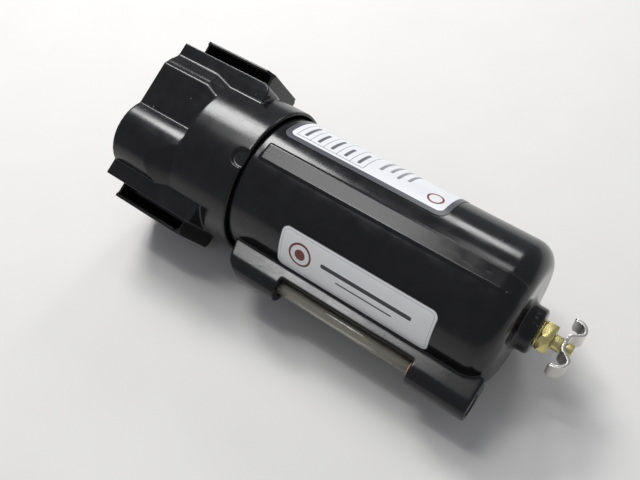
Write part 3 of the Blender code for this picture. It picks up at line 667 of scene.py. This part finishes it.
def make_head(paint):
    section = [(0, COLLAR_H), (COLLAR_R, COLLAR_H), (COLLAR_R, 0)]
    section += [(MOUTH_R, 0), (MOUTH_R, MOUTH_DEPTH), (0, MOUTH_DEPTH)]
    collar = turned("collar", rounded(section, [0, 0.9, 0.7, 0.5, 0, 0]))
    collar = boolean(collar, [notch_cutter()], "DIFFERENCE")
    upper = prism("upper", head_outline(), COLLAR_H - 2.0, HEAD_TOP)
    foot, wide, top = COLLAR_H - 3.0, COLLAR_R + 3.0, HEAD_TOP + OVER
    section = [(0, foot), (COLLAR_R - 0.3, foot), (COLLAR_R - 0.1, COLLAR_H - 0.5)]
    section += [(wide, COLLAR_H + 14.0), (wide, top), (0, top)]
    upper = boolean(upper, [turned("taper", section)], "INTERSECT")
    chamber = rod("chamber", MOUTH_R, (0, 0, -OVER), (0, 0, MOUTH_DEPTH), 192)
    cheeks = boolean(cheek_solid(), [chamber], "DIFFERENCE")
    solids = [collar, upper, cheeks, *flange_solids(1), *flange_solids(-1)]
    ports = [port_cutter(1), port_cutter(-1)]
    bored = [boolean(solid, [copy_of(port) for port in ports], "DIFFERENCE") for solid in solids[1:]]
    for port in ports:
        bpy.data.objects.remove(port, do_unlink=True)
    skin = cast("head_casting", [collar, *bored])
    return place(smooth(skin), HEAD, "head_body", paint, "black_paint", ["head"])


# Bowl


def bowl_profile():
    foot_r = 3.2
    lip_r = 1.6
    floor_z = BOWL_BOTTOM + FLOOR_T
    outer = [(NECK_R, BOWL_TOP), (NECK_R, SHOULDER_Z), (BOWL_R, SHOULDER_Z)]
    outer += arc((BOWL_R - BOWL_FILLET, BOWL_BOTTOM + BOWL_FILLET), BOWL_FILLET, 0, -90, 24)
    outer += arc((DRAIN_BOSS_R + foot_r, BOWL_BOTTOM - foot_r), foot_r, 90, 180, 10)
    outer += [(DRAIN_BOSS_R, DRAIN_BOSS_END + lip_r)]
    outer += arc((DRAIN_BOSS_R - lip_r, DRAIN_BOSS_END + lip_r), lip_r, 0, -90, 6)
    inner = [(DRAIN_BORE_R, DRAIN_BOSS_END), (DRAIN_BORE_R, floor_z)]
    inner += [(CAVITY_R, floor_z), (CAVITY_R, BOWL_TOP)]
    return outer + inner


def gauge_solid():
    """Rail and bosses of the sight glass."""
    bar_top, top_root, foot_root = -4.0, 26.0, 20.0
    tip = arc((GLASS_X, 0), GAUGE_R, -90, 90, 40)
    section = [(WALL_R, GAUGE_R), (WALL_R, -GAUGE_R)] + tip
    bar = prism("gauge", section, BOWL_BOTTOM, bar_top)
    x = GLASS_X
    low, high = WINDOW
    out = x + GAUGE_R + 2.0
    shoulder = [(BOWL_R + 0.6, -4.9), (x + 2.8, -8.0), (x + 5.9, -11.2), (out, -16.5)]
    window = [(out, high), (RAIL_X, high), (RAIL_X, low), (out, low)]
    foot = [(out, BOWL_BOTTOM), (foot_root, BOWL_BOTTOM)]
    side = [(top_root, GAUGE_TOP)] + shoulder + window + foot
    keep = prism("gauge_side", side, -GAUGE_R - OVER, GAUGE_R + OVER, "XZ")
    bar = boolean(bar, [keep], "INTERSECT")
    bores = [
        rod("bore", GLASS_R + 0.45, (x, 0, low - 4), (x, 0, high + 4)),
        rod("bore", PLUG_BORE_R, (x, 0, BOWL_BOTTOM - OVER), (x, 0, low - 1.6)),
    ]
    return boolean(bar, bores, "DIFFERENCE")


def band_solid(side):
    """Flat-topped band down the bowl and over its bottom edge, rooted in the wall and the floor."""
    flat = BAND_R - 0.25
    proud = 0.2
    fillet = BOWL_FILLET + proud
    inner_end, floor_z = 20.0, BOWL_BOTTOM + 3.0
    profile = [(WALL_R, BAND_TOP), (flat, BAND_TOP)]
    profile += arc((flat - fillet, BOWL_BOTTOM + proud + fillet), fillet, 0, -84, 24)
    profile += [(inner_end, floor_z), (WALL_R, floor_z)]
    return prism("band", [(side * y, z) for y, z in profile], -BAND_HALF_W, BAND_HALF_W, "YZ")


def make_bowl(paint):
    shell = turned("shell", bowl_profile(), 256, closed=True)
    skin = cast("bowl_casting", [shell, gauge_solid(), band_solid(1), band_solid(-1)])
    return place(smooth(skin), BOWL, "bowl_body", paint, "black_paint", ["bowl"])


def make_tube(glass):
    """Clear tube with its ends broken."""
    low, high = GLASS_Z
    bore_r = GLASS_R - GLASS_WALL
    profile = [
        (GLASS_R - 0.3, high),
        (GLASS_R, high - 0.3),
        (GLASS_R, low + 0.3),
        (GLASS_R - 0.3, low),
        (bore_r + 0.2, low),
        (bore_r, low + 0.2),
        (bore_r, high - 0.2),
        (bore_r + 0.2, high),
    ]
    tube = moved_to_glass(turned("sight_glass_tube", profile, 64, closed=True))
    place(smooth(tube, 60), BOWL, "bowl_body", glass, "sight_glass", ["sight_glass"])


def make_seals(seal):
    for name, node, z in (
        ("upper_seal_ring", "upper_glass_seal", WINDOW[1] + 1.4),
        ("lower_seal_ring", "lower_glass_seal", WINDOW[0] + 0.5),
    ):
        outline = arc((GLASS_R + 0.22, z), SEAL_R, 0, 330, 11)
        ring = moved_to_glass(turned(name, outline, 64, closed=True))
        place(smooth(ring), BOWL, "bowl_body", seal, "salmon_silicone", [node])


def make_plug(steel):
    """Screw plug below the tube, with a hexagon socket."""
    low, high = PLUG_Z
    profile = [(0, high), (PLUG_R - 0.2, high), (PLUG_R, high - 0.3), (PLUG_R, low + 0.5)]
    profile += [(PLUG_R - 0.4, low), (0, low)]
    plug = moved_to_glass(turned("glass_plug", profile, 64))
    key_r = PLUG_KEY_FLATS / math.sqrt(3)
    socket = rod("socket", key_r, (GLASS_X, 0, PLUG_KEY_Z[0]), (GLASS_X, 0, PLUG_KEY_Z[1]), 6)
    plug = boolean(plug, [socket], "DIFFERENCE")
    place(smooth(plug, 30), BOWL, "bowl_body", steel, "zinc_plated_steel", ["sight_glass_plug"])


# Labels


def label_skin(name, centre_deg, half_w, zs, corner):
    """A film wrapped on the bowl, with rounded corners and its face laid out in mm as UV."""
    columns, rows = 72, 40
    low, high = zs
    us = [half_w * math.sin(math.pi * (i / columns - 0.5)) for i in range(columns + 1)]
    bm = bmesh.new()
    layer = bm.loops.layers.uv.new("face")
    grid = []
    place_of = {}
    radius = (BOWL_R + FILM_LIFT) * MM
    for u in us:
        inset = max(0.0, abs(u) - (half_w - corner))
        trim = corner - math.sqrt(max(0.0, corner**2 - inset**2))
        column = []
        for k in range(rows + 1):
            v = low + trim + (high - low - 2 * trim) * k / rows
            t = math.radians(centre_deg) + u / BOWL_R
            vertex = bm.verts.new((radius * math.cos(t), radius * math.sin(t), v * MM))
            place_of[vertex] = (u, v)
            column.append(vertex)
        grid.append(column)
    for a, b in zip(grid, grid[1:]):
        for k in range(rows):
            face = bm.faces.new((a[k], b[k], b[k + 1], a[k + 1]))
            for loop in face.loops:
                loop[layer].uv = place_of[loop.vert]
    obj = from_bmesh(name, bm, recalculate=False)
    thick = obj.modifiers.new("film", "SOLIDIFY")
    thick.thickness = FILM_T * MM
    thick.offset = -1.0
    return applied(obj)


def front_marks():
    """Frame, two bars and a ringed dot: plain marks without words."""
    low, high = FRONT_Z
    middle = (0.0, (low + high) / 2)
    half = (FRONT_HALF_W, (high - low) / 2)
    inset = 1.2
    rule_half = 22.0
    rule_v = middle[1] - 28.0 + rule_half
    bars = ((1.6, 1.0, rule_half), (-2.6, 0.4, rule_half * 0.62))  # across, half width, half length
    ring_at = (0.6, high - 11.0)
    ring_r, core_r = 5.2, 2.6

    def frame_line(n):
        inner = (half[0] - inset, half[1] - inset)
        return stroked(n, rectangle_edge(n, middle, inner, 2.2), 0.22)

    def edge(n):
        return stroked(n, rectangle_edge(n, middle, half, FRONT_CORNER), 0.5)

    def rules(n):
        masks = []
        for u, half_u, half_v in bars:
            masks.append(filled(n, rectangle_edge(n, (u, rule_v), (half_u, half_v), half_u * 0.8)))
        return united(n, masks)

    def spot(n):
        disc = rectangle_edge(n, ring_at, (ring_r, ring_r), ring_r)
        core = rectangle_edge(n, ring_at, (core_r, core_r), core_r)
        return united(n, [stroked(n, disc, 1.0), filled(n, core)])

    return [(edge, FRONT_EDGE), (frame_line, FRONT_FRAME), (rules, FRONT_INK), (spot, FRONT_RED)]


def rating_marks():
    """Dark border, a ruled table of bars, four rules and a ring: plain marks without words."""
    low, high = RATING_Z
    middle = (0.0, (low + high) / 2)
    field = (RATING_HALF_W - RATING_BORDER, (high - low) / 2 - RATING_BORDER)
    line_half = 0.13
    bar_reaches = (6.4, 5.0, 6.0, 4.4, 5.4)
    ring_at, ring_r = (-10.4, low + 8.6), 3.3

    def border(n):
        return n.math("SUBTRACT", 1.0, filled(n, rectangle_edge(n, middle, field, 2.6)))

    def table(n):
        margin, row = 1.6, 6.9
        left, right = -field[0] + margin, field[0] - margin
        top = high - 5.2
        foot = top - row * len(bar_reaches)
        u, v = (left + right) / 2, (top + foot) / 2
        half_u, half_v = (right - left) / 2, (top - foot) / 2
        masks = [stroked(n, rectangle_edge(n, (u, v), (half_u, half_v)), 0.28)]
        for i in range(1, len(bar_reaches)):
            masks.append(filled(n, rectangle_edge(n, (u, top - row * i), (half_u, line_half))))
        masks.append(filled(n, rectangle_edge(n, (left + 17.0, v), (line_half, half_v))))
        for i, reach in enumerate(bar_reaches):
            at = (left + margin + reach, top - row * (i + 0.5))
            masks.append(filled(n, rectangle_edge(n, at, (reach, 0.8), 0.5)))
        return united(n, masks)

    def rules(n):
        masks = []
        for i in range(4):
            at, reach = (1.5, high - 45.5 - 4.3 * i), 12.0 - 2.0 * (i % 2)
            masks.append(filled(n, rectangle_edge(n, at, (reach, 0.75), 0.5)))
        return united(n, masks)

    def spot(n):
        return stroked(n, rectangle_edge(n, ring_at, (ring_r, ring_r), ring_r), 0.9)

    inks = [(table, RATING_TABLE_INK), (rules, RATING_RULE_INK)]
    return inks + [(spot, RATING_RED), (border, RATING_BORDER_INK)]


def make_labels():
    film = printed_film("front_film", FRONT_GROUND, front_marks())
    label = label_skin("front_label_film", FRONT_CENTRE_DEG, FRONT_HALF_W, FRONT_Z, FRONT_CORNER)
    place(smooth(label, 40), BOWL, "bowl_body", film, "label_silver", ["front_label"])
    film = printed_film("rating_film", RATING_GROUND, rating_marks())
    label = label_skin("rating_label_film", RATING_CENTRE_DEG, RATING_HALF_W, RATING_Z, RATING_CORNER)
    place(smooth(label, 40), BOWL, "bowl_body", film, "label_white", ["rating_label"])


# Drain cock


def hex_nut(name, flats, low, high, bore, turn):
    """Hexagon bar with its corners turned off at both ends."""
    corner = flats / math.sqrt(3)
    angles = [turn + math.pi / 3 * i for i in range(6)]
    nut = prism(name, [(corner * math.cos(t), corner * math.sin(t)) for t in angles], low, high)
    drop = (corner - flats / 2) * 0.9
    face_r, out_r = flats / 2 - 0.1, corner + 0.1
    profile = [(0, high), (face_r, high), (out_r, high - drop)]
    profile += [(out_r, low + drop), (face_r, low), (0, low)]
    nut = boolean(nut, [turned("form", profile, 96)], "INTERSECT")
    hole = rod("bore", bore, (0, 0, low - OVER), (0, 0, high + OVER), 48)
    nut = boolean(nut, [hole], "DIFFERENCE")
    return smooth(bevelled(nut, 0.12, 2, 25.0), 30)


def make_cock(brass):
    nut = hex_nut("drain_hexagon", HEX_FLATS, *HEX_Z, COCK_BORE_R, HEX_TURN)
    foot, top = HEX_Z[1] - 0.5, HEX_Z[1] + THREAD_LENGTH
    bore_r = COCK_BORE_R + 0.1
    profile = [(THREAD_R, top), (THREAD_R, foot), (bore_r, foot), (bore_r, top)]
    thread = turned("thread", profile, 64, closed=True)
    body = merged("drain_cock_body", [nut, thread])
    place(smooth(body, 30), BOWL, "bowl_body", brass, "brass", ["drain_body"])
    (inner, outer), (low, high) = WASHER_R, WASHER_Z
    profile = rounded([(inner, low), (outer, low), (outer, high), (inner, high)], [0, 0.2, 0.2, 0])
    washer = turned("drain_flange", profile, 96, closed=True)
    place(smooth(washer, 50), BOWL, "bowl_body", brass, "brass", ["drain_washer"])


def make_stem(brass):
    """Spindle with its shank, and the riveted end that holds the wing."""
    low, high = STEM_HEAD_Z
    rivet_z = WING_HUB_Z - 0.95
    rivet_r = 1.8
    profile = [(0, STEM_TOP_Z), (STEM_TIP_R, STEM_TOP_Z), (STEM_R, STEM_TOP_Z - 2.0), (STEM_R, high)]
    profile += [(SHANK_R, high), (SHANK_R, low), (rivet_r, low), (rivet_r, rivet_z)]
    profile += [(STEM_END_R, rivet_z), (STEM_END_R, STEM_END_Z), (0, STEM_END_Z)]
    stem = turned("drain_spindle", rounded(profile, [0, 0, 0.3, 0, 0.15, 0.15, 0, 0, 0.2, 0.4, 0]), 64)
    place(smooth(stem, 40), BOWL, "stem_body", brass, "brass", ["drain_stem"])


def wing():
    """Stamped strip: flat hub, two ears that rise and curl back, ends rounded in plan."""
    hub, rise, peak, tip = 3.3, 4.7, 7.9, 12.5
    width, tip_width, neck_w, thick = 8.4, 7.2, 6.2, 1.3
    ear_r = 0.8
    z = WING_HUB_Z
    radius = tip - peak
    half = [(0.0, z), (hub - 0.8, z), (hub + 0.6, z - 0.5), (hub + 2.2, z - rise * 0.62)]
    half += arc((peak, z - rise + radius), radius, -100, 12, 12)
    half += [(tip - 0.3, z + 1.2)]
    line = smooth_line([(-x, y) for x, y in reversed(half[1:])] + half, 3)
    bm = bmesh.new()
    across = 12
    lengths = [0.0]
    for a, b in zip(line, line[1:]):
        lengths.append(lengths[-1] + (Vector(b) - Vector(a)).length)
    total = lengths[-1]
    rows = []
    for (x, height), along in zip(line, lengths):
        end = min(along, total - along)
        inset = max(0.0, ear_r - end)
        corner = ear_r - math.sqrt(max(0.0, ear_r**2 - inset**2))
        taper = min(1.0, end / (total / 2 - hub))
        half_w = (tip_width + (width - tip_width) * taper) / 2 - corner
        spread = min(1.0, max(0.0, (abs(x) - 0.9) / 0.9))
        half_w = min(half_w, neck_w / 2 + (width - neck_w) / 2 * spread)
        ys = [half_w * (2 * k / across - 1) for k in range(across + 1)]
        rows.append([bm.verts.new((x * MM, y * MM, height * MM)) for y in ys])
    for a, b in zip(rows, rows[1:]):
        for k in range(across):
            bm.faces.new((a[k], a[k + 1], b[k + 1], b[k]))
    obj = from_bmesh("drain_wing", bm, recalculate=False)
    solid = obj.modifiers.new("sheet", "SOLIDIFY")
    solid.thickness = thick * MM
    solid.offset = 0.0
    obj = applied(obj)
    obj = boolean(obj, [rod("hole", 2.1, (0, 0, z - 3), (0, 0, z + 3), 48)], "DIFFERENCE")
    obj = smooth(bevelled(obj, 0.22, 3, 50.0), 40)
    obj.data.transform(Matrix.Rotation(WING_TURN, 4, "Z"))
    return obj


def smooth_line(points, rounds):
    """The line with its corners cut off, round after round, and its ends kept."""
    for _ in range(rounds):
        made = [points[0]]
        for a, b in zip(points, points[1:]):
            a, b = Vector(a), Vector(b)
            made += [tuple(a * 0.75 + b * 0.25), tuple(a * 0.25 + b * 0.75)]
        points = made + [points[-1]]
    return points


# Hidden pieces that keep their CAD shape


def dress_nodes(looks):
    for node, look in looks.items():
        obj = frame["nodes"][node]
        obj.data.materials.clear()
        obj.data.materials.append(look)


# Studio


def floor_material():
    """Pale and even for the camera and in reflections, while it still takes the shadow."""
    n = Nodes("pale_floor")
    grain = n.noise(0.02, 3)
    share = n.ramp(grain, ((0.3, 0.0), (0.7, 1.0)))
    n.set(Base_Color=n.mix(share, (0.80, 0.79, 0.77), (0.78, 0.77, 0.75)))
    return n.set(Roughness=0.75, Specular_IOR_Level=0.2)


def make_floor():
    bm = bmesh.new()
    bmesh.ops.create_grid(bm, x_segments=2, y_segments=2, size=FLOOR_SIZE)
    floor = from_bmesh("floor", bm)
    floor.location.z = -FLOOR_GAP
    floor.data.materials.append(floor_material())


def softbox(name, direction, distance, size, watts):
    light = bpy.data.lights.new(name, "AREA")
    light.shape = "RECTANGLE"
    light.size, light.size_y = size
    light.energy = watts
    obj = bpy.data.objects.new(name, light)
    bpy.context.scene.collection.objects.link(obj)
    target = Vector(LIGHT_AIM)
    obj.location = target + unit(direction) * distance
    obj.rotation_euler = (target - obj.location).to_track_quat("-Z", "Y").to_euler()


def make_light():
    world = bpy.data.worlds.new("studio")
    bpy.context.scene.world = world
    world.use_nodes = True
    background = world.node_tree.nodes["Background"]
    background.inputs["Color"].default_value = WORLD_COLOUR
    background.inputs["Strength"].default_value = WORLD_STRENGTH
    for light in SOFTBOXES:
        softbox(*light)


def make_camera():
    look = unit(HEAD.to_3x3() @ Vector(CAMERA_LOOK))
    up = unit(HEAD.to_3x3() @ Vector(CAMERA_UP))
    right = look.cross(up).normalized()
    up = right.cross(look)
    camera = bpy.data.objects.new("camera", bpy.data.cameras.new("camera"))
    bpy.context.scene.collection.objects.link(camera)
    turn = Matrix((right, up, -look)).transposed().to_4x4()
    camera.matrix_world = Matrix.Translation(HEAD @ (Vector(CAMERA_PLACE) * MM)) @ turn
    camera.data.lens = CAMERA_LENS
    camera.data.sensor_width = SENSOR_WIDTH
    camera.data.clip_start = NEAREST
    bpy.context.scene.camera = camera


def main():
    bpy.context.scene.view_settings.view_transform = "Standard"
    make_camera()
    head_paint = painted_casting("head_enamel", 0.18, 0.08)
    bowl_paint = painted_casting("bowl_enamel", 0.14, 0.06)
    brass = metal("brass_bar", (0.72, 0.64, 0.29), (0.55, 0.47, 0.18), 0.26)
    nickel = metal("nickel_sheet", (0.80, 0.78, 0.74), (0.66, 0.63, 0.57), 0.20)
    steel = metal("zinc_plate", (0.62, 0.63, 0.65), (0.5, 0.5, 0.5), 0.35)
    seal = rubber("salmon_seal", (0.50, 0.24, 0.17), 0.45)
    black_rubber = rubber("nitrile", (0.018, 0.018, 0.018))
    acetal = rubber("acetal", (0.03, 0.03, 0.03), 0.45)
    make_head(head_paint)
    make_bowl(bowl_paint)
    make_tube(clear_tube("clear_nylon"))
    make_seals(seal)
    make_plug(steel)
    make_labels()
    make_cock(brass)
    make_stem(brass)
    place(wing(), BOWL, "wing_body", nickel, "nickel_plate", ["wing_handle"])
    dress_nodes(
        {
            "bowl_o_ring": black_rubber,
            "upper_element_gasket": black_rubber,
            "lower_element_gasket": black_rubber,
            "swirl_deflector": acetal,
            "baffle": acetal,
            "filter_element": porous("sintered_granules"),
            "tie_rod": steel,
            "retaining_nut": steel,
        }
    )
    make_floor()
    make_light()


main()
